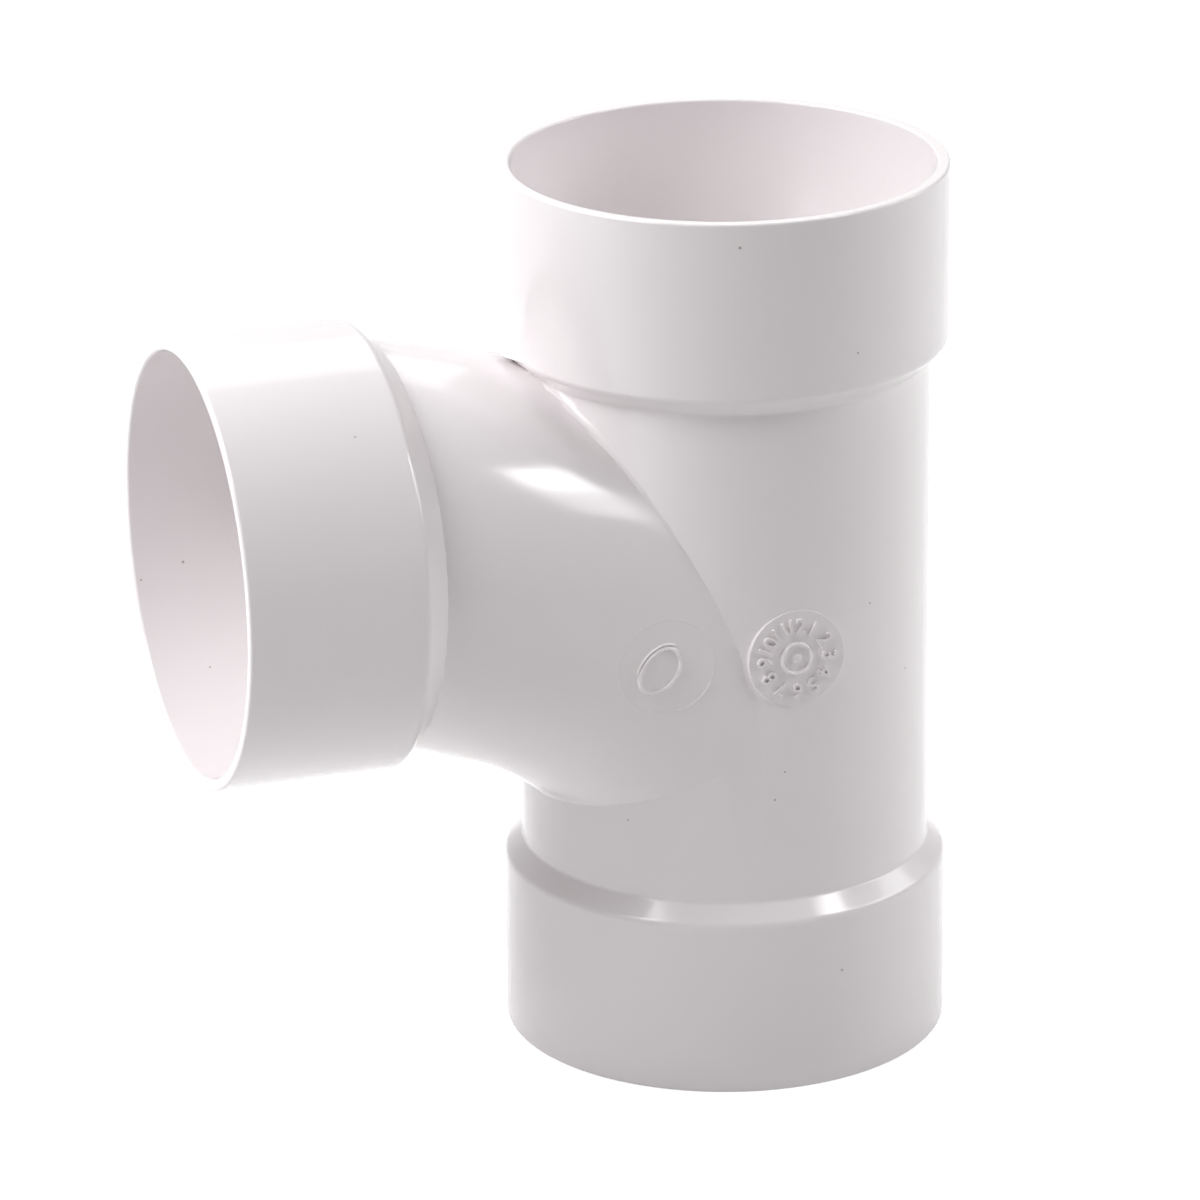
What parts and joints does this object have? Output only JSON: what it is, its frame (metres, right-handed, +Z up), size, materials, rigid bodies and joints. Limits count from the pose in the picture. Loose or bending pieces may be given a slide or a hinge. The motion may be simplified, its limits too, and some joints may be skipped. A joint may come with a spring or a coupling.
{
  "type": "sanitary tee",
  "caption": "One-piece drainage tee: a straight run with pipe sockets at both ends and a side branch that leaves its socket on a slant and sweeps down into the run.",
  "frame": {"origin": "centre of the lower rim, on the run's axis", "axes": "+Z up along the run, -X out of the branch's socket, the gate pad faces -Y"},
  "size_m": [0.1994, 0.1138, 0.2302],
  "materials": {
    "pvc": "glossy moulded white PVC"
  },
  "bodies": {
    "root": {"tee_body": "pvc"}
  },
  "joints": []
}
